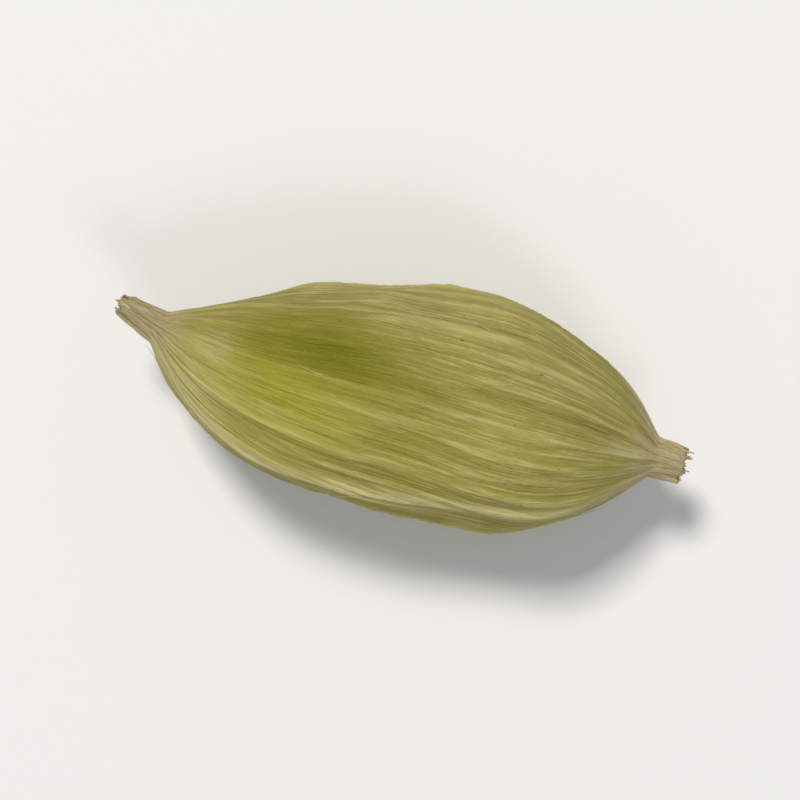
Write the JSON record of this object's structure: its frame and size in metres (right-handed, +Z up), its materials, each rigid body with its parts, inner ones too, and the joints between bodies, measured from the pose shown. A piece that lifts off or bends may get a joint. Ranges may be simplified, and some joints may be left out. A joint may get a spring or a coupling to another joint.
{
  "type": "green cardamom pod",
  "caption": "Dried green cardamom pod lying on its side: a ribbed capsule of three lobes, with a bent papery beak at one end and a stalk stub at the other.",
  "frame": {"origin": "middle of the pod's box at the surface that it rests on", "axes": "+X along the pod from the beak to the stalk, +Y across it to the side that the beak bends to, +Z up"},
  "size_m": [0.0164, 0.0066, 0.006],
  "materials": {
    "dried_husk": "dried cardamom husk: thin, fibrous and papery, matt to faintly satin, olive green going to straw on the ribs"
  },
  "bodies": {
    "root": {"cardamom_pod": "dried_husk"}
  },
  "joints": []
}
